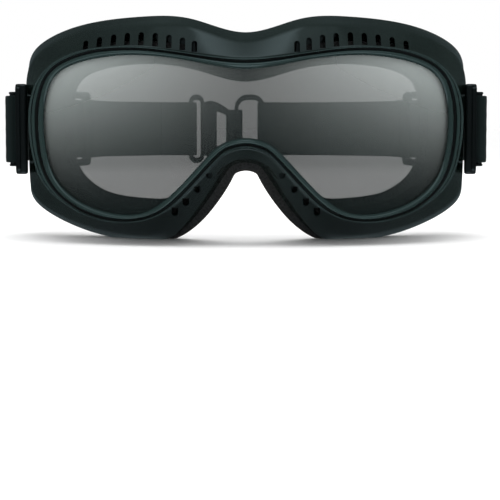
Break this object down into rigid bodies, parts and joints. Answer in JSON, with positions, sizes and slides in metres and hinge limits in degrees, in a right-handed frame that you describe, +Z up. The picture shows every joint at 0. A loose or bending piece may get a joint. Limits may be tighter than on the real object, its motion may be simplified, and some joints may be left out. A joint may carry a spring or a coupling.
{
  "type": "motorcycle goggles",
  "caption": "Over-the-glasses motorcycle goggles: curved smoke lens in a deep gloss frame, foam face seal, elastic strap with sliders and a rear hook clasp.",
  "frame": {"origin": "middle of the bounding box in plan, on the plane of the two cheek flats that the goggles stand on", "axes": "+X to the wearer's left, +Y from the lens back to the rear clasp, +Z up"},
  "size_m": [0.1842, 0.2192, 0.0819],
  "materials": {
    "frame_gloss": "glossy moulded black with a faint blue-green tint",
    "bezel_gloss": "polished black",
    "bracket_gloss": "glossy black",
    "lens_smoke": "smoke grey, clear, polished",
    "gasket_rubber": "matt soft rubber",
    "seal_foam": "open-cell foam with a fine grain",
    "lining_fleece": "brushed fleece",
    "vent_foam": "coarse open-cell foam",
    "webbing": "fine diagonal weave, matt",
    "buckle_black": "satin charcoal"
  },
  "bodies": {
    "goggle_frame": {"frame_shell": "frame_gloss", "lens_bezel": "bezel_gloss", "lens": "lens_smoke", "lens_gasket": "gasket_rubber", "face_foam": "seal_foam", "face_lining": "lining_fleece", "brow_vent_filter_left": "vent_foam", "brow_vent_filter_right": "vent_foam", "nose_vent_filter_left": "vent_foam", "nose_vent_filter_right": "vent_foam", "strap_bracket_left": "bracket_gloss", "strap_bracket_right": "bracket_gloss", "strap_end_left": "webbing", "strap_end_right": "webbing"},
    "side_straps": {"strap_side_left": "webbing", "strap_side_right": "webbing"},
    "rear_strap": {"strap_rear_left": "webbing", "strap_rear_right": "webbing", "strap_return_left": "webbing", "strap_return_right": "webbing", "rear_ring": "buckle_black"},
    "slider_left": {"slider_left": "buckle_black"},
    "slider_right": {"slider_right": "buckle_black"},
    "rear_hook": {"rear_hook": "buckle_black"}
  },
  "joints": [
    {"name": "strap_adjust", "type": "slide", "parent": "goggle_frame", "child": "side_straps", "axis": [0, -1, 0], "range_m": [0, 0.02]},
    {"name": "strap_stretch", "type": "slide", "parent": "side_straps", "child": "rear_strap", "axis": [0, 1, 0], "range_m": [0, 0.04], "stiffness_N_per_m": 400, "deforming": ["strap_side_left", "strap_side_right"]},
    {"name": "slider_left_slide", "type": "slide", "parent": "rear_strap", "child": "slider_left", "axis": [0.2215, -0.9752, 0], "range_m": [0, 0.02], "deforming": ["strap_return_left"]},
    {"name": "slider_right_slide", "type": "slide", "parent": "rear_strap", "child": "slider_right", "axis": [-0.2215, -0.9752, 0], "range_m": [0, 0.02], "deforming": ["strap_return_right"]},
    {"name": "clasp_hook", "type": "hinge", "parent": "rear_strap", "child": "rear_hook", "pos_m": [-0.027, 0.1062, 0.041], "axis": [0, 0, 1], "range_deg": [0, 70]}
  ],
  "couplings": [
    {"joint": "slider_left_slide", "follows": "strap_adjust", "ratio": 1},
    {"joint": "slider_right_slide", "follows": "strap_adjust", "ratio": 1}
  ]
}
